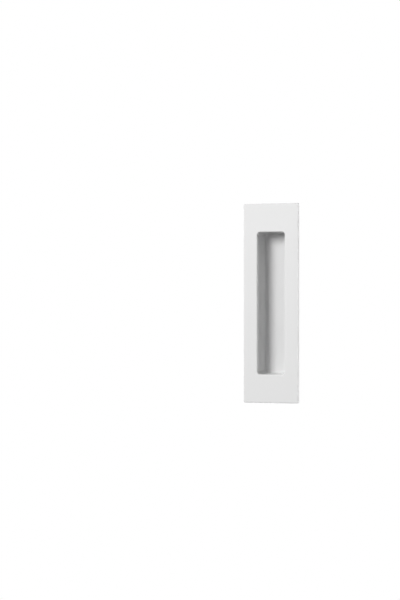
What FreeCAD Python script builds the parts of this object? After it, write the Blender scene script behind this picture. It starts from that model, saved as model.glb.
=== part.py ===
import FreeCAD, Part
import math
import os

# Flush pull for a pocket door: a cast face plate with a finger recess, snapped over
# a screwed base so that no fastener shows from the front.
# Millimetres. X is the width, Z the height, and +Y points into the door.
# The origin is the middle of the face plate, on the plane of the door's surface.

# Face plate and finger recess
recess_width = 22.5
recess_height = 107.3
recess_depth = 16.0
side_margin = 11.1
end_margin = 21.35
plate_stand = 2.2
plate_wall = 1.0
rim_wall = 1.5
plate_corner_radius = 1.0
plate_edge_radius = 0.6
hollow_corner_radius = 0.8
recess_edge_radius = 0.6
recess_corner_radius = 2.4
recess_floor_corner_radius = 3.6
recess_floor_fillet = 2.2
recess_draft_angle = 1.2
cup_wall = 1.4

# Moulded base: a flange under the face plate and a collar round the cup
flange_gap = 0.3
flange_face_gap = 0.1
collar_gap = 0.3
collar_end_wall = 2.1
collar_depth = 10.0
collar_lead_in = 0.6
crush_rib_radius = 0.5
crush_rib_stand = 0.35
crush_rib_spacing = 40.0
crush_rib_lead_in = 1.5

# Spring clips, bent from strip, that sit astride the collar's long walls
clip_spacing = 64.0
clip_width = 8.0
clip_thickness = 0.4
clip_bend_radius = 0.6
clip_bend_flat = 0.2
clip_outer_leg = 5.5
clip_flank_angle = 33.0
clip_tail_length = 1.9
clip_tail_gap = 0.1
clip_seat_gap = 0.05
clip_side_gap = 0.3
clip_cup_gap = 0.15
clip_channel_depth = 1.45
clip_setback = 0.9
window_length = 2.0
window_width = 3.0
barb_gap = 0.15
barb_stand = 0.3

# Catches cast on the cup, held by the clips
catch_depth = 5.2
catch_slope = 0.4
catch_land = 0.4
catch_ramp = 1.4
catch_stand = 0.8
catch_width = 5.0
catch_gap = 0.12

# Countersunk wood screws
screw_spacing = 22.0
screw_length = 16.0
screw_radius = 1.5
screw_head_radius = 2.6
screw_head_land = 0.1
screw_point_length = 3.5
screw_point_radius = 0.2
screw_hole_gap = 0.08
screw_slot_radius = 1.5
screw_slot_width = 0.8
screw_slot_depth = 0.8

# Sizes that follow from the ones above
plate_width = recess_width + 2 * side_margin
plate_height = recess_height + 2 * end_margin
plate_front = -plate_stand
plate_back = plate_front + plate_wall
recess_floor = plate_front + recess_depth
recess_taper = recess_depth * math.tan(math.radians(recess_draft_angle))
cup_back = recess_floor + cup_wall

hollow_width = plate_width - 2 * rim_wall
hollow_height = plate_height - 2 * rim_wall
flange_width = hollow_width - 2 * flange_gap
flange_height = hollow_height - 2 * flange_gap
flange_front = plate_back + flange_face_gap

bore_width = recess_width + 2 * (cup_wall + collar_gap)
bore_height = recess_height + 2 * (cup_wall + collar_gap)
bore_radius = recess_corner_radius + cup_wall + collar_gap
clip_web = 2 * (clip_bend_radius - clip_seat_gap) + clip_bend_flat - clip_thickness
clip_groove_depth = clip_thickness + clip_seat_gap
collar_side_wall = clip_channel_depth + clip_web + clip_groove_depth
collar_width = bore_width + 2 * collar_side_wall
collar_height = bore_height + 2 * collar_end_wall
collar_radius = bore_radius + collar_end_wall

channel_side = bore_width / 2 + clip_channel_depth
groove_side = channel_side + clip_web
clip_seat = collar_depth - clip_setback
window_middle = clip_seat - clip_outer_leg / 2

screw_x = screw_spacing / 2
screw_z = (collar_height + flange_height) / 4
screw_land = flange_front + screw_head_land
screw_tip = flange_front + screw_length

# How far a cutting solid runs past the face that it opens
overrun = 1.0

# Each place as its side, -1 for the left, and its end, 1 for the upper
PLACES = {
    "upper_left": (-1, 1),
    "upper_right": (1, 1),
    "lower_left": (-1, -1),
    "lower_right": (1, -1),
}


def point(x, y, z=0):
    return FreeCAD.Vector(x, y, z)


def rounded_outline(width, height, radius, y):
    """A rectangle with round corners, centred on the Y axis in the plane at y."""
    arcs = []
    for quarter, (sign_x, sign_z) in enumerate([(1, 1), (-1, 1), (-1, -1), (1, -1)]):
        centre = point(sign_x * (width / 2 - radius), y, sign_z * (height / 2 - radius))
        angles = [math.radians(90 * quarter + turn) for turn in (0, 45, 90)]
        arcs.append(
            Part.Arc(*[centre + point(math.cos(a), 0, math.sin(a)) * radius for a in angles])
        )
    edges = []
    for arc, following in zip(arcs, arcs[1:] + arcs[:1]):
        edges.append(arc.toShape())
        edges.append(Part.LineSegment(arc.EndPoint, following.StartPoint).toShape())
    return Part.Wire(edges)


def rounded_block(width, height, radius, front, back):
    face = Part.Face(rounded_outline(width, height, radius, front))
    return face.extrude(point(0, back - front))


def prism(outline, z, width):
    """A block along Z with its middle at z, from the (x, y) corners of its end."""
    corners = [point(x, y, z - width / 2) for x, y in outline]
    return Part.Face(Part.makePolygon(corners + corners[:1])).extrude(point(0, 0, width))


def turned(outline):
    """A round solid about the Y axis, from the (radius, y) corners of its half section."""
    corners = [point(radius, y) for radius, y in outline]
    face = Part.Face(Part.makePolygon(corners + corners[:1]))
    return face.revolve(point(0, 0), point(0, 1), 360)


def level_edges(shape, y, reach=math.inf):
    """The edges that lie in the plane at y, no further than the reach from the Z axis."""
    edges = []
    for edge in shape.Edges:
        box = edge.BoundBox
        level = max(abs(box.YMin - y), abs(box.YMax - y)) < 1e-4
        if level and max(-box.XMin, box.XMax) < reach:
            edges.append(edge)
    return edges


def cup_form(wall, back):
    """The recess, or the cup round it if wall isn't 0: it narrows and rounds to its floor."""
    width = recess_width + 2 * wall
    height = recess_height + 2 * wall
    mouth = rounded_outline(width, height, recess_corner_radius + wall, plate_front)
    floor = rounded_outline(
        width - 2 * recess_taper,
        height - 2 * recess_taper,
        recess_floor_corner_radius + wall,
        back,
    )
    form = Part.makeLoft([mouth, floor], True, True)
    return form.makeFillet(recess_floor_fillet + wall, level_edges(form, back))


def cup_side(y):
    """How far the cup's long outer walls stand from the middle at the depth y."""
    share = (y - plate_front) / (cup_back - plate_front)
    return recess_width / 2 + cup_wall - recess_taper * share


def catch_outline():
    """A steep shoulder at the front, a narrow land and a ramp that spreads the clip."""
    root = cup_side(catch_depth) - cup_wall / 2
    crest = cup_side(catch_depth) + catch_stand
    land_front = catch_depth + catch_slope
    land_back = land_front + catch_land
    ramp_back = land_back + catch_ramp * (crest - root) / catch_stand
    return [(root, catch_depth), (crest, land_front), (crest, land_back), (root, ramp_back)]


def face_cover():
    """One casting: the face plate with its folded rim, and the cup of the finger recess."""
    plate = rounded_block(plate_width, plate_height, plate_corner_radius, plate_front, 0)
    plate = plate.makeFillet(plate_edge_radius, level_edges(plate, plate_front))
    hollow = rounded_block(
        hollow_width, hollow_height, hollow_corner_radius, plate_back, overrun
    )
    cover = plate.cut(hollow).fuse(cup_form(cup_wall, cup_back))
    cover = cover.cut(cup_form(0, recess_floor))
    for side, end in PLACES.values():
        outline = [(side * x, y) for x, y in catch_outline()]
        cover = cover.fuse(prism(outline, end * clip_spacing / 2, catch_width))
    cover = cover.removeSplitter()
    mouth = level_edges(cover, plate_front, (recess_width + side_margin) / 2)
    return cover.makeFillet(recess_edge_radius, mouth)


def screw_hole():
    """A countersunk hole through the flange, a little wider than the screw all over."""
    head = screw_head_radius + screw_hole_gap
    shank = screw_radius + screw_hole_gap
    return turned(
        [
            (0, flange_front - overrun),
            (head, flange_front - overrun),
            (head, screw_land),
            (shank, 0),
            (shank, overrun),
            (0, overrun),
        ]
    )


def crush_rib():
    """A half-round rib down the collar, tapered at the rear, that bites into the door."""
    nose = crush_rib_radius - crush_rib_stand / 2
    return turned(
        [
            (0, flange_front / 2),
            (crush_rib_radius, flange_front / 2),
            (crush_rib_radius, collar_depth - collar_lead_in - crush_rib_lead_in),
            (nose, collar_depth - collar_lead_in),
            (0, collar_depth - collar_lead_in),
        ]
    )


def crush_ribs():
    inset = crush_rib_radius - crush_rib_stand
    side = collar_width / 2 - inset
    end = collar_height / 2 - inset
    spots = [(sign * side, crush_rib_spacing * step) for sign in (-1, 1) for step in (-1, 0, 1)]
    spots += [(0, -end), (0, end)]
    ribs = []
    for x, z in spots:
        rib = crush_rib()
        rib.translate(point(x, 0, z))
        ribs.append(rib)
    return ribs


def clip_housing(side, z):
    """The channel inside the collar, the groove outside it and the gap over the web."""
    width = clip_width + 2 * clip_side_gap
    bore = side * (bore_width / 2 - overrun)
    channel = side * channel_side
    groove = side * groove_side
    outside = side * (collar_width / 2 + overrun)
    front = flange_front - overrun
    back = collar_depth + overrun
    leg_end = clip_seat - clip_outer_leg - clip_side_gap
    outline = [
        (bore, front),
        (channel, front),
        (channel, clip_seat),
        (groove, clip_seat),
        (groove, leg_end),
        (outside, leg_end),
        (outside, back),
        (bore, back),
    ]
    return prism(outline, z, width)


def clip_barb(side, z):
    """A wedge in the bottom of the groove that the window in the clip's leg snaps over."""
    half_length = window_length / 2 - barb_gap
    front = window_middle - half_length
    back = window_middle + half_length
    root = groove_side - clip_web / 2
    outline = [(root, front), (groove_side + barb_stand, front), (groove_side, back), (root, back)]
    return prism([(side * x, y) for x, y in outline], z, window_width - 2 * barb_gap)


def web_edges(base):
    """The rear edges of the webs that the clips' bends go round."""
    edges = []
    for edge in level_edges(base, clip_seat):
        reach = abs(edge.CenterOfMass.x)
        at_side = min(abs(reach - channel_side), abs(reach - groove_side)) < 1e-4
        if at_side and edge.BoundBox.ZLength > clip_width:
            edges.append(edge)
    return edges


def mounting_base():
    """One moulding: the screwed flange and the collar that the cup slides into."""
    flange = rounded_block(
        flange_width, flange_height, hollow_corner_radius, flange_front, 0
    )
    collar = rounded_block(
        collar_width, collar_height, collar_radius, flange_front, collar_depth
    )
    collar = collar.makeChamfer(collar_lead_in, level_edges(collar, collar_depth))
    bore = rounded_block(
        bore_width, bore_height, bore_radius, flange_front - overrun, collar_depth + overrun
    )
    cuts = [bore]
    barbs = []
    for side, end in PLACES.values():
        hole = screw_hole()
        hole.translate(point(side * screw_x, 0, end * screw_z))
        cuts += [hole, clip_housing(side, end * clip_spacing / 2)]
        barbs.append(clip_barb(side, end * clip_spacing / 2))
    base = flange.fuse([collar] + crush_ribs()).cut(cuts)
    base = base.makeFillet(clip_bend_radius - clip_thickness / 2, web_edges(base))
    return base.fuse(barbs).removeSplitter()


def bent_path(points, radius):
    """Straight runs through the points, with every corner rounded by a tangent arc."""
    edges = []
    start = points[0]
    for before, corner, after in zip(points, points[1:], points[2:]):
        back = (before - corner).normalize()
        ahead = (after - corner).normalize()
        half_turn = (math.pi - back.getAngle(ahead)) / 2
        reach = radius * math.tan(half_turn)
        sagitta = radius / math.cos(half_turn) - radius
        middle = corner + (back + ahead).normalize() * sagitta
        bend_start = corner + back * reach
        bend_end = corner + ahead * reach
        edges.append(Part.LineSegment(start, bend_start).toShape())
        edges.append(Part.Arc(bend_start, middle, bend_end).toShape())
        start = bend_end
    edges.append(Part.LineSegment(start, points[-1]).toShape())
    return Part.Wire(edges)


def clip_points():
    """The strip's middle line on the right side, from the outer leg to the sprung tail.

    The flank between the inner leg and the bulge passes the crest of the catch at the
    catch's gap.
    """
    leg = groove_side + clip_seat_gap + clip_thickness / 2
    inner = channel_side - clip_seat_gap - clip_thickness / 2
    bend_back = clip_seat + clip_seat_gap + clip_thickness / 2
    bulge = cup_side(catch_depth) + clip_cup_gap + clip_thickness / 2
    crest = cup_side(catch_depth) + catch_stand
    angle = math.radians(clip_flank_angle)

    def flank(x):
        offset = catch_gap + clip_thickness / 2 + (crest - x) * math.cos(angle)
        return catch_depth + catch_slope - offset / math.sin(angle)

    return [
        point(leg, clip_seat - clip_outer_leg),
        point(leg, bend_back),
        point(inner, bend_back),
        point(inner, flank(inner)),
        point(bulge, flank(bulge)),
        point(inner - clip_tail_gap, flank(bulge) - clip_tail_length),
    ]


def spring_clip(side, end):
    """A bent strip: its outer leg has a window for the barb, its inner leg grips the catch."""
    points = clip_points()
    start = points[0]
    half = clip_thickness / 2
    profile = Part.makePolygon(
        [
            start + point(sign_x * half, 0, sign_z * clip_width / 2)
            for sign_x, sign_z in ((-1, -1), (1, -1), (1, 1), (-1, 1), (-1, -1))
        ]
    )
    clip = bent_path(points, clip_bend_radius).makePipeShell([profile], True, False)
    window = Part.makeBox(
        clip_thickness * 2,
        window_length,
        window_width,
        point(start.x - clip_thickness, window_middle - window_length / 2, -window_width / 2),
    )
    clip = clip.cut(window)
    if side < 0:
        clip = clip.mirror(point(0, 0), point(1, 0))
    clip.translate(point(0, 0, end * clip_spacing / 2))
    return clip


def wood_screw(side, end):
    """A countersunk screw with a cross slot, its shank as thick as its thread's crest."""
    screw = turned(
        [
            (0, flange_front),
            (screw_head_radius, flange_front),
            (screw_head_radius, screw_land),
            (screw_radius, 0),
            (screw_radius, screw_tip - screw_point_length),
            (screw_point_radius, screw_tip),
            (0, screw_tip),
        ]
    )
    slot = Part.makeBox(
        2 * screw_slot_radius,
        screw_slot_depth + overrun,
        screw_slot_width,
        point(-screw_slot_radius, flange_front - overrun, -screw_slot_width / 2),
    )
    crossing = slot.copy()
    crossing.rotate(point(0, 0), point(0, 1), 90)
    screw = screw.cut([slot, crossing])
    screw.translate(point(side * screw_x, 0, end * screw_z))
    return screw


def main():
    parts = {"face_cover": face_cover(), "mounting_base": mounting_base()}
    for place, (side, end) in PLACES.items():
        parts["spring_clip_" + place] = spring_clip(side, end)
        parts["wood_screw_" + place] = wood_screw(side, end)
    os.makedirs("parts", exist_ok=True)
    for node, shape in parts.items():
        shape.exportStep("parts/" + node + ".step")
        print(node, shape.isValid(), len(shape.Solids), round(shape.Volume, 2))


main()
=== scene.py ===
import math

import bmesh
import bpy
from mathutils import Matrix, Vector


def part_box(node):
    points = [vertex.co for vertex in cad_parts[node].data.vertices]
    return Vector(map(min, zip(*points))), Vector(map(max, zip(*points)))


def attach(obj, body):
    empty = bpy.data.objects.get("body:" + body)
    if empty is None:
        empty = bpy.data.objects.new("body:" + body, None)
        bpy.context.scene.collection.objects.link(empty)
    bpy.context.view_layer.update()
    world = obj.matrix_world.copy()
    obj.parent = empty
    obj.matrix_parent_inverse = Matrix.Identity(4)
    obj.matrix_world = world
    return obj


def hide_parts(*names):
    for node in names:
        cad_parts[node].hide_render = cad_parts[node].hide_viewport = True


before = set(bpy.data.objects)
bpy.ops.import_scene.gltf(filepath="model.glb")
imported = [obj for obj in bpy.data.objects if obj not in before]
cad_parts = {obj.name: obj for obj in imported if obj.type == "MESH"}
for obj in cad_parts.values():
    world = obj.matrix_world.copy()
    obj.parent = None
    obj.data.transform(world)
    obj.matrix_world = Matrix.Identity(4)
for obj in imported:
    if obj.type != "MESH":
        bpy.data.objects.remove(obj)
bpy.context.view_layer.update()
mm = 0.001


# Mounting base
# One moulding of dark glass-filled nylon: a thin flange that is screwed to the door face and
# a collar that stands in the mortise. Its surfaces carry the fine spark grain of the mould.
base_edge_radius = 0.12 * mm
base_edge_angle = math.radians(35)
edge_segments = 2
edge_smooth_angle = math.radians(30)
merge_distance = 0.004 * mm
flat_angle = math.radians(0.4)
nylon_dark = (0.030, 0.031, 0.034, 1)
nylon_pale = (0.046, 0.047, 0.050, 1)
nylon_roughness = 0.44
nylon_unevenness = 0.1
nylon_flow_size = 9 * mm
nylon_flow_scale = (1, 1, 0.3)
nylon_grain_size = 0.28 * mm
nylon_grain_depth = 0.012 * mm


class Field:
    """A number that varies over a surface, so that shader sums are written as Python."""

    def __init__(self, nodes, socket):
        self.nodes = nodes
        self.socket = socket

    def math(self, operation, *values):
        return self.nodes.make("ShaderNodeMath", {"operation": operation}, dict(enumerate(values)))

    def __add__(self, other):
        return self.math("ADD", self, other)

    def __sub__(self, other):
        return self.math("SUBTRACT", self, other)

    def __mul__(self, other):
        return self.math("MULTIPLY", self, other)

    def __rsub__(self, other):
        return self.math("SUBTRACT", other, self)

    def __abs__(self):
        return self.math("ABSOLUTE", self)

    def larger(self, other):
        return self.math("MAXIMUM", self, other)

    __radd__ = __add__
    __rmul__ = __mul__


class Nodes:
    """The node tree of a material or of the sky."""

    def __init__(self, owner):
        owner.use_nodes = True
        self.tree = owner.node_tree

    def feed(self, node, inputs):
        for key, value in inputs.items():
            if isinstance(value, Field):
                self.tree.links.new(value.socket, node.inputs[key])
            else:
                node.inputs[key].default_value = value

    def make(self, kind, settings=None, inputs=None, output=0):
        node = self.tree.nodes.new(kind)
        for key, value in (settings or {}).items():
            setattr(node, key, value)
        self.feed(node, inputs or {})
        return Field(self, node.outputs[output])


class Finish(Nodes):
    """One material, made of nodes round a Principled shader."""

    # The Mix node's colour sockets go by number, because others share their names.
    first_colour, second_colour, mixed_colour = 6, 7, 2

    def __init__(self, name, **constants):
        self.material = bpy.data.materials.new(name)
        super().__init__(self.material)
        self.shader = self.tree.nodes["Principled BSDF"]
        self.set(**constants)
        self.place = self.make("ShaderNodeTexCoord", output="Object")

    def set(self, **inputs):
        self.feed(self.shader, {key.replace("_", " "): value for key, value in inputs.items()})

    def axis(self, name):
        return self.make("ShaderNodeSeparateXYZ", None, {0: self.place}, name)

    def rise(self, value, low, high):
        """How far a value has come from low to high, from 0 to 1."""
        inputs = {"Value": value, "From Min": low, "From Max": high}
        return self.make("ShaderNodeMapRange", {"interpolation_type": "SMOOTHSTEP"}, inputs)

    def noise(self, size, detail=2, scale=(1, 1, 1)):
        """Noise from 0 to 1, its features about the given size, or longer where scale is small."""
        place = self.make("ShaderNodeMapping", None, {"Vector": self.place, "Scale": scale})
        inputs = {"Vector": place, "Scale": 1 / size, "Detail": detail}
        return self.make("ShaderNodeTexNoise", None, inputs)

    def blend(self, share, first, second):
        """A colour between two others."""
        inputs = {"Factor": share, self.first_colour: first, self.second_colour: second}
        return self.make("ShaderNodeMix", {"data_type": "RGBA"}, inputs, self.mixed_colour)

    def relief(self, height, depth):
        """The normal of a surface whose height varies by the given depth."""
        self.set(Normal=self.make("ShaderNodeBump", None, {"Height": height, "Distance": depth}))


nylon = Finish("dark_nylon", IOR=1.53)
flow = nylon.noise(nylon_flow_size, detail=3, scale=nylon_flow_scale)
grain = nylon.noise(nylon_grain_size, detail=3)
nylon.set(
    Base_Color=nylon.blend(flow, nylon_dark, nylon_pale),
    Roughness=nylon_roughness + nylon_unevenness * flow + nylon_unevenness * grain,
)
nylon.relief(grain, nylon_grain_depth)


def new_piece(name, mesh, finish):
    """A piece of the fitting from its finished mesh, with its material."""
    mesh.materials.append(finish.material)
    piece = bpy.data.objects.new(name, mesh)
    bpy.context.collection.objects.link(piece)
    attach(piece, "root")
    return piece


def smooth(mesh, angle):
    """Shades a mesh smooth, except over the edges that are sharper than the angle."""
    mesh.shade_smooth()
    mesh.set_sharp_from_angle(angle=angle)


def join_flats(form):
    """Merges points that all but touch, and joins the faces that lie in one plane."""
    bmesh.ops.remove_doubles(form, verts=form.verts, dist=merge_distance)
    bmesh.ops.dissolve_limit(form, angle_limit=flat_angle, verts=form.verts, edges=form.edges)


def rounded_copy(node, radius, least_angle):
    """A copy of a node's mesh, its loose triangles joined and its sharp edges rounded."""
    form = bmesh.new()
    form.from_mesh(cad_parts[node].data)
    join_flats(form)
    sharp = [e for e in form.edges if e.is_manifold and e.calc_face_angle() > least_angle]
    bmesh.ops.bevel(
        form,
        geom=sharp,
        offset=radius,
        segments=edge_segments,
        profile=0.5,
        affect="EDGES",
        material=-1,
        clamp_overlap=True,
    )
    join_flats(form)
    mesh = bpy.data.meshes.new(node)
    form.to_mesh(mesh)
    form.free()
    smooth(mesh, edge_smooth_angle)
    return mesh


def keep_flats(piece):
    """Shades the flat faces flat, so that only the rounded edges between them turn the light."""
    even = piece.modifiers.new("keep_flats", "WEIGHTED_NORMAL")
    even.keep_sharp = True


base_mesh = rounded_copy("mounting_base", base_edge_radius, base_edge_angle)
base = new_piece("mounting_base_moulding", base_mesh, nylon)
keep_flats(base)
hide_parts("mounting_base")


# Wood screws
# Four countersunk wood screws of zinc-plated steel, rolled thread up to the head and a
# tapered point. They clamp the flange to the door face, under the face plate.
fitting_corners = ("upper_left", "upper_right", "lower_left", "lower_right")
screw_angles = (10, 47, 30, 67)
screw_smooth_angle = math.radians(32)
seam_distance = 0.001 * mm
nanometre = 1e-9
thread_start = 0.25 * mm
thread_pitch = 1.35 * mm
thread_root_radius = 1.02 * mm
thread_crest_radius = 1.5 * mm
thread_ridge_share = 0.32
thread_point_length = 3.5 * mm
thread_point_radius = 0.15 * mm
thread_least_share = 0.02
thread_steps = 28
head_land = 0.1 * mm
head_neck = 0.9 * mm
head_steps = 48
driver_arm = 1.45 * mm
driver_arm_taper = 0.35
driver_slot = 0.36 * mm
driver_slot_taper = 0.6
driver_depth = 0.85 * mm
plated_pale = (0.66, 0.67, 0.69, 1)
plated_dark = (0.52, 0.54, 0.58, 1)
plated_roughness = 0.3
plated_unevenness = 0.16
bloom_size = 1.6 * mm
plated_grain_size = 0.12 * mm
plated_grain_depth = 0.002 * mm

plated = Finish("plated_steel", Metallic=1.0)
bloom = plated.noise(bloom_size, detail=4)
plated.set(
    Base_Color=plated.blend(bloom, plated_pale, plated_dark),
    Roughness=plated_roughness + plated_unevenness * bloom,
)
plated.relief(plated.noise(plated_grain_size), plated_grain_depth)


def turned(outline, steps):
    """A round solid about the Y axis, from the (radius, y) points of its half section."""
    form = bmesh.new()
    points = [form.verts.new((radius, y, 0)) for radius, y in outline]
    lines = [form.edges.new(pair) for pair in zip(points, points[1:])]
    bmesh.ops.spin(
        form,
        geom=points + lines,
        cent=(0, 0, 0),
        axis=(0, 1, 0),
        angle=math.tau,
        steps=steps,
        use_merge=True,
    )
    bmesh.ops.remove_doubles(form, verts=form.verts, dist=seam_distance)
    bmesh.ops.recalc_face_normals(form, faces=form.faces)
    return form


def threaded_shank(start, tip):
    """One turn's section spun along a helix, drawn in to the point and cut off square."""
    form = bmesh.new()
    first_turn = start - thread_pitch
    turns = math.ceil((tip - first_turn) / thread_pitch) + 1
    half_root = (1 - thread_ridge_share) / 2
    section = [
        (thread_root_radius, 0),
        (thread_root_radius, half_root),
        (thread_crest_radius, 0.5),
        (thread_root_radius, 1 - half_root),
        (thread_root_radius, 1),
    ]
    points = [
        form.verts.new((radius, first_turn + share * thread_pitch, 0)) for radius, share in section
    ]
    lines = [form.edges.new(pair) for pair in zip(points, points[1:])]
    bmesh.ops.spin(
        form,
        geom=points + lines,
        cent=(0, 0, 0),
        axis=(0, 1, 0),
        dvec=(0, thread_pitch / thread_steps, 0),
        angle=math.tau * turns,
        steps=thread_steps * turns,
    )
    bmesh.ops.remove_doubles(form, verts=form.verts, dist=seam_distance)
    for point in form.verts:
        along = max(0, (point.co.y - tip + thread_point_length) / thread_point_length)
        drawn = 1 - along * (1 - thread_point_radius / thread_crest_radius)
        point.co.x *= max(drawn, thread_least_share)
        point.co.z *= max(drawn, thread_least_share)
    for level, outward in ((start, -1), (tip, 1)):
        cut = bmesh.ops.bisect_plane(
            form,
            geom=form.verts[:] + form.edges[:] + form.faces[:],
            plane_co=(0, level, 0),
            plane_no=(0, outward, 0),
            clear_outer=True,
        )
        rim = [part for part in cut["geom_cut"] if isinstance(part, bmesh.types.BMEdge)]
        bmesh.ops.holes_fill(form, edges=rim)
    bmesh.ops.recalc_face_normals(form, faces=form.faces)
    return form


def driver_cross(front):
    """The tapered cross that cuts the driver's recess, as far before the head as it is deep."""
    form = bmesh.new()
    for turn in (0, math.pi / 2):
        bar = bmesh.ops.create_cube(form, size=1)["verts"]
        for point in bar:
            deep = point.co.y > 0
            point.co.x *= 2 * driver_arm * (driver_arm_taper if deep else 1)
            point.co.z *= 2 * driver_slot * (driver_slot_taper if deep else 1)
            point.co.y = front + (driver_depth if deep else -driver_depth)
        bmesh.ops.rotate(form, verts=bar, cent=(0, 0, 0), matrix=Matrix.Rotation(turn, 3, "Y"))
    return form


def as_object(form):
    """A bare object to carve or to carve with, from a form that is used up."""
    mesh = bpy.data.meshes.new("tool")
    form.to_mesh(mesh)
    form.free()
    shaped = bpy.data.objects.new("tool", mesh)
    bpy.context.collection.objects.link(shaped)
    return shaped


def in_order(mesh):
    """A form of a carved mesh, ordered and taken to the nanometre so that each run is the same."""
    spots = [tuple(round(value / nanometre) for value in point.co) for point in mesh.vertices]
    form = bmesh.new()
    points = {
        spot: form.verts.new([value * nanometre for value in spot]) for spot in sorted(set(spots))
    }
    rings = []
    for face in mesh.polygons:
        ring = list(dict.fromkeys(spots[index] for index in face.vertices))
        first = ring.index(min(ring))
        rings.append(ring[first:] + ring[:first])
    for ring in sorted(rings):
        if len(ring) > 2:
            form.faces.new([points[spot] for spot in ring])
    return form


def carved(solid, steps):
    """A mesh after each (operation, tool) step has joined a tool to it or cut one out of it."""
    body = as_object(solid)
    tools = []
    for operation, tool_form in steps:
        tool = as_object(tool_form)
        change = body.modifiers.new("carve", "BOOLEAN")
        change.operation = operation
        change.solver = "EXACT"
        change.use_self = True
        change.object = tool
        tools.append(tool)
    bpy.context.view_layer.update()
    result = body.evaluated_get(bpy.context.evaluated_depsgraph_get())
    mesh = bpy.data.meshes.new_from_object(result)
    for spare in [body] + tools:
        bpy.data.objects.remove(spare)
    form = in_order(mesh)
    join_flats(form)
    form.to_mesh(mesh)
    form.free()
    return mesh


low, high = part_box("wood_screw_upper_left")
head_radius = (high.x - low.x) / 2
head_outline = [
    (0, low.y),
    (head_radius - head_land, low.y),
    (head_radius, low.y + head_land),
    (thread_crest_radius, 0),
    (thread_root_radius, head_neck),
    (0, head_neck),
]
screw_mesh = carved(
    turned(head_outline, head_steps),
    [("UNION", threaded_shank(thread_start, high.y)), ("DIFFERENCE", driver_cross(low.y))],
)
smooth(screw_mesh, screw_smooth_angle)
for corner, angle in zip(fitting_corners, screw_angles):
    node = "wood_screw_" + corner
    low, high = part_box(node)
    turned_mesh = screw_mesh.copy()
    turned_mesh.transform(Matrix.Rotation(math.radians(angle), 4, "Y"))
    turned_mesh.transform(Matrix.Translation(((low.x + high.x) / 2, 0, (low.z + high.z) / 2)))
    screw = new_piece(node + "_threaded", turned_mesh, plated)
    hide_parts(node)


# Spring clips
# Four strips of stainless spring steel, blanked, tumbled and bent, that sit astride the
# collar's walls and grip the catches of the cup. The rolling grain runs along each strip.
clip_edge_radius = 0.05 * mm
clip_edge_angle = math.radians(50)
steel_pale = (0.52, 0.51, 0.495, 1)
steel_dark = (0.41, 0.40, 0.39, 1)
steel_roughness = 0.3
steel_unevenness = 0.2
streak_size = 0.2 * mm
streak_scale = (1, 0.04, 1)
streak_depth = 0.0015 * mm

spring = Finish("spring_steel", Metallic=1.0)
streaks = spring.noise(streak_size, detail=3, scale=streak_scale)
spring.set(
    Base_Color=spring.blend(streaks, steel_pale, steel_dark),
    Roughness=steel_roughness + steel_unevenness * streaks,
)
spring.relief(streaks, streak_depth)

for corner in fitting_corners:
    node = "spring_clip_" + corner
    clip_mesh = rounded_copy(node, clip_edge_radius, clip_edge_angle)
    clip = new_piece(node + "_strip", clip_mesh, spring)
    keep_flats(clip)
    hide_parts(node)


# Face cover
# One zinc casting, the face plate with its folded rim and the cup of the finger recess,
# with a satin white powder coat all over. Four catches on the cup snap into the clips.
plate_corner_radius = 1.0 * mm
plate_edge_radius = 0.6 * mm
plate_wall = 1.0 * mm
rim_wall = 1.5 * mm
rim_edge = 0.12 * mm
hollow_corner_radius = 0.8 * mm
recess_width = 22.5 * mm
recess_height = 107.3 * mm
recess_depth = 16.0 * mm
recess_draft = math.radians(1.2)
recess_taper = recess_depth * math.tan(recess_draft)
cup_wall = 1.4 * mm
lip_radius = 0.6 * mm
recess_corner_radius = 2.4 * mm
floor_corner_radius = 3.6 * mm
floor_fillet = 2.2 * mm
corner_segments = 10
fillet_steps = 10
edge_steps = 6
cover_smooth_angle = math.radians(38)
catch_spacing = 64.0 * mm
catch_width = 5.0 * mm
catch_root = -0.7 * mm
catch_crest = 0.8 * mm
catch_outline = [
    (5.2 * mm, catch_root),
    (5.6 * mm, catch_crest),
    (6.0 * mm, catch_crest),
    (8.6 * mm, catch_root),
]
ejector_radius = 2.0 * mm
ejector_depth = 0.12 * mm
ejector_segments = 40
ejector_columns = (-5 * mm, 5 * mm)
ejector_rows = (-38 * mm, 0, 38 * mm)
coat_pale = (0.68, 0.68, 0.68, 1)
coat_dark = (0.66, 0.66, 0.66, 1)
coat_thin = (0.57, 0.575, 0.58, 1)
coat_thin_reach = (0.3 * mm, 1.1 * mm)
coat_roughness = 0.4
coat_unevenness = 0.06
coat_thin_roughness = 0.08
drift_size = 38 * mm
peel_size = 1.3 * mm
dust_size = 0.22 * mm
mottle_size = 3.5 * mm
coat_relief = 0.006 * mm
dust_relief = 0.25

low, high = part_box("face_cover")
plate_width = high.x - low.x
plate_height = high.z - low.z
plate_front = low.y
plate_back = plate_front + plate_wall
cup_back = high.y
recess_floor = cup_back - cup_wall


def quarter(steps):
    """The sine and cosine at even steps of a quarter turn."""
    return [
        (math.sin(math.pi / 2 * step / steps), math.cos(math.pi / 2 * step / steps))
        for step in range(steps + 1)
    ]


def first_ring(form, section):
    """A round-cornered rectangle of edges in an empty form: its width, height, radius and y."""
    width, height, radius, y = section
    points = [
        form.verts.new((x * width / 2, y, z * height / 2))
        for x, z in ((1, 1), (-1, 1), (-1, -1), (1, -1))
    ]
    form.faces.new(points)
    bmesh.ops.bevel(
        form,
        geom=points,
        offset=radius,
        offset_type="OFFSET",
        segments=corner_segments,
        profile=0.5,
        affect="VERTICES",
        material=-1,
    )
    bmesh.ops.delete(form, geom=form.faces[:], context="FACES_ONLY")
    return form.edges[:]


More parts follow.
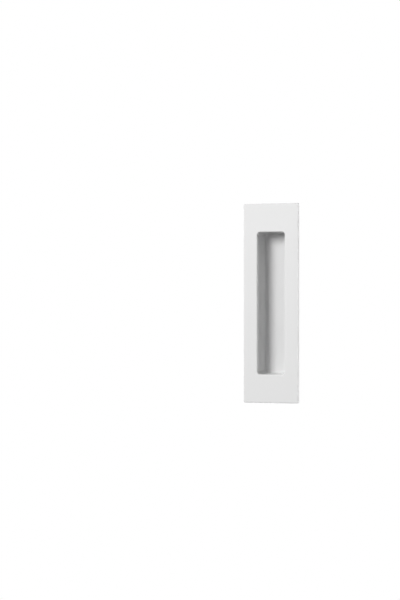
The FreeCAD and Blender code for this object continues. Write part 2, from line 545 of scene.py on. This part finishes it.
def next_ring(form, edges, old, new):
    """Extrudes a ring and carries it from its old section to the new one."""
    old_width, old_height, old_radius, _ = old
    width, height, radius, y = new
    grown = bmesh.ops.extrude_edge_only(form, edges=edges)["geom"]
    for point in [part for part in grown if isinstance(part, bmesh.types.BMVert)]:
        side = math.copysign(1, point.co.x)
        end = math.copysign(1, point.co.z)
        across = (point.co.x - side * (old_width / 2 - old_radius)) / old_radius
        along = (point.co.z - end * (old_height / 2 - old_radius)) / old_radius
        point.co.x = side * (width / 2 - radius) + radius * across
        point.co.y = y
        point.co.z = end * (height / 2 - radius) + radius * along
    return [part for part in grown if isinstance(part, bmesh.types.BMEdge)]


def cup_sections(wall, back):
    """The recess, or the cup round it, from where its wall ends to the edge of its floor."""
    fillet = floor_fillet + wall
    sections = []
    for rise, level in quarter(fillet_steps):
        y = back - fillet * (1 - rise)
        share = (y - plate_front) / (back - plate_front)
        inset = recess_taper * share + fillet * (1 - level)
        grown = wall - inset
        radius = recess_corner_radius + (floor_corner_radius - recess_corner_radius) * share
        radius += wall - fillet * (1 - level)
        sections.append((recess_width + 2 * grown, recess_height + 2 * grown, radius, y))
    return sections


def plate_section(inset, y):
    """The plate's outline, drawn in by an inset."""
    radius = max(plate_corner_radius - inset, hollow_corner_radius / 2)
    return (plate_width - 2 * inset, plate_height - 2 * inset, radius, y)


def mouth_section(grown, y):
    """The outline of the recess at the face, let out by a margin."""
    radius = recess_corner_radius + grown
    return (recess_width + 2 * grown, recess_height + 2 * grown, radius, y)


hollow = (plate_width - 2 * rim_wall, plate_height - 2 * rim_wall, hollow_corner_radius)
sections = cup_sections(cup_wall, cup_back)[::-1]
sections.append(mouth_section(cup_wall, plate_back))
sections += [(*hollow, plate_back), (*hollow, 0)]
sections += [plate_section(rim_edge, 0), plate_section(0, -rim_edge)]
for rise, level in quarter(edge_steps):
    y = plate_front + plate_edge_radius * (1 - rise)
    sections.append(plate_section(plate_edge_radius * (1 - level), y))
for rise, level in quarter(edge_steps):
    sections.append(mouth_section(lip_radius * (1 - rise), plate_front + lip_radius * (1 - level)))
sections += cup_sections(0, recess_floor)

casting = bmesh.new()
back_ring = first_ring(casting, sections[0])
ring = back_ring
for old, new in zip(sections, sections[1:]):
    ring = next_ring(casting, ring, old, new)
bmesh.ops.contextual_create(casting, geom=back_ring)
bmesh.ops.contextual_create(casting, geom=ring)
bmesh.ops.recalc_face_normals(casting, faces=casting.faces)

catches = bmesh.new()
cup_side = recess_width / 2 + cup_wall - recess_taper / 2
for side in (-1, 1):
    for end in (-1, 1):
        outline = [
            catches.verts.new((side * (cup_side + out), y, end * catch_spacing / 2))
            for y, out in catch_outline
        ]
        face = catches.faces.new(outline)
        bmesh.ops.translate(catches, verts=outline, vec=(0, 0, -catch_width / 2))
        grown = bmesh.ops.extrude_face_region(catches, geom=[face])["geom"]
        far_end = [part for part in grown if isinstance(part, bmesh.types.BMVert)]
        bmesh.ops.translate(catches, verts=far_end, vec=(0, 0, catch_width))
bmesh.ops.recalc_face_normals(catches, faces=catches.faces)

ejectors = bmesh.new()
for x in ejector_columns:
    for z in ejector_rows:
        spot = Matrix.Translation((x, cup_back, z)) @ Matrix.Rotation(math.pi / 2, 4, "X")
        bmesh.ops.create_cone(
            ejectors,
            cap_ends=True,
            segments=ejector_segments,
            radius1=ejector_radius,
            radius2=ejector_radius,
            depth=2 * ejector_depth,
            matrix=spot,
        )

cover_mesh = carved(casting, [("UNION", catches), ("DIFFERENCE", ejectors)])
smooth(cover_mesh, cover_smooth_angle)

coat = Finish("white_coat", IOR=1.5)
drift = coat.noise(drift_size)
peel = coat.noise(peel_size)
dust = coat.noise(dust_size)
across, depth, along = (coat.axis(name) for name in "XYZ")
beside = abs(across) - recess_width / 2
beyond = abs(along) - recess_height / 2
outside = beside.larger(beyond.larger(depth - recess_floor))
rear = coat.rise(outside, *coat_thin_reach) * coat.rise(depth, *coat_thin_reach)
mottle = coat.noise(mottle_size, detail=4)
full_coat = coat.blend(drift, coat_pale, coat_dark)
uneven_roughness = coat_roughness + coat_unevenness * drift + coat_unevenness * dust
coat.set(
    Base_Color=coat.blend(rear * mottle, full_coat, coat_thin),
    Roughness=uneven_roughness + coat_thin_roughness * rear,
)
coat.relief(peel + dust_relief * dust, coat_relief)

cover = new_piece("face_cover_casting", cover_mesh, coat)
keep_flats(cover)
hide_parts("face_cover")


# Floor
# A plain pale floor, well below the fitting, which hangs on a door. It glows a little, so
# that it is even all over, and throws no light up at the fitting.
floor_drop = 1.0
floor_radius = 5.0
floor_segments = 180
floor_tone = (0.5, 0.5, 0.5, 1)
floor_roughness = 0.9
floor_glow = 0.66
white = (1, 1, 1, 1)

matt = Finish("pale_floor", Base_Color=floor_tone, Roughness=floor_roughness)
matt.set(Emission_Color=white, Emission_Strength=floor_glow)

disc = bmesh.new()
bmesh.ops.create_circle(disc, cap_ends=True, segments=floor_segments, radius=floor_radius)
bmesh.ops.translate(disc, verts=disc.verts, vec=(0, 0, -floor_drop))
floor_mesh = bpy.data.meshes.new("floor")
disc.to_mesh(floor_mesh)
disc.free()
floor_mesh.materials.append(matt.material)
floor = bpy.data.objects.new("floor", floor_mesh)
bpy.context.collection.objects.link(floor)
floor.visible_diffuse = False


# Studio
# Softboxes at the left light the face and half of the recess, and weaker ones the edges and
# the rear. The sky is dim on the coat, brighter in the gloss of metal, and a white backdrop.
sky_strength = 0.08
sky_gloss = 0.5


def direction(azimuth, elevation):
    """The way from the fitting to a light or the camera, azimuth from the front."""
    turn, rise = math.radians(azimuth), math.radians(elevation)
    return Vector(
        (math.sin(turn) * math.cos(rise), -math.cos(turn) * math.cos(rise), math.sin(rise))
    )


def softbox(name, azimuth, elevation, distance, size, power, mirrored=True):
    """A square lamp that faces the fitting, and shows in glossy surfaces if it is mirrored."""
    light = bpy.data.lights.new(name, "AREA")
    light.size = size
    light.energy = power
    lamp = bpy.data.objects.new(name, light)
    bpy.context.collection.objects.link(lamp)
    way = direction(azimuth, elevation)
    lamp.location = way * distance
    lamp.rotation_euler = (-way).to_track_quat("-Z", "Y").to_euler()
    lamp.visible_camera = False
    lamp.visible_glossy = mirrored


softbox("key_softbox", azimuth=-18, elevation=21, distance=2.4, size=1.06, power=48.4)
softbox("left_softbox", azimuth=-60, elevation=18, distance=2.4, size=0.8, power=30)
softbox(
    "right_softbox", azimuth=93, elevation=-8, distance=1.5, size=0.7, power=23, mirrored=False
)
softbox("lower_softbox", azimuth=180, elevation=-65, distance=0.9, size=0.5, power=5)
softbox(
    "rear_softbox", azimuth=-150, elevation=15, distance=1.5, size=0.8, power=20, mirrored=False
)

world = bpy.data.worlds.new("studio")
bpy.context.scene.world = world
sky = Nodes(world)
seen = sky.make("ShaderNodeLightPath", output="Is Camera Ray")
glossy = sky.make("ShaderNodeLightPath", output="Is Glossy Ray")
strength = seen + (1 - seen) * (sky_strength + sky_gloss * glossy)
sky.feed(sky.tree.nodes["Background"], {"Color": white, "Strength": strength})


# Camera
# It stands to the right at the height of the fitting, far off, and is slid sideways so that
# the fitting lands where the photograph has it.
camera_azimuth = 25.0
camera_elevation = 0.0
lens = 144.0
sensor = 36.0
near_clip = 0.01
pixels_per_mm = 1.3285
frame_pixels = (400, 600)
fitting_pixel = (271.9, 303.3)

back = direction(camera_azimuth, camera_elevation)
right = Vector((math.cos(math.radians(camera_azimuth)), math.sin(math.radians(camera_azimuth)), 0))
up = back.cross(right)
distance = lens / sensor * frame_pixels[1] / pixels_per_mm * mm
slide = (fitting_pixel[0] - frame_pixels[0] / 2) / pixels_per_mm * mm
drop = (fitting_pixel[1] - frame_pixels[1] / 2) / pixels_per_mm * mm
optics = bpy.data.cameras.new("camera")
optics.lens = lens
optics.sensor_width = sensor
optics.clip_start = near_clip
camera = bpy.data.objects.new("camera", optics)
bpy.context.collection.objects.link(camera)
camera.location = back * distance - right * slide + up * drop
camera.rotation_euler = (-back).to_track_quat("-Z", "Y").to_euler()
bpy.context.scene.camera = camera
bpy.context.scene.view_settings.view_transform = "Standard"
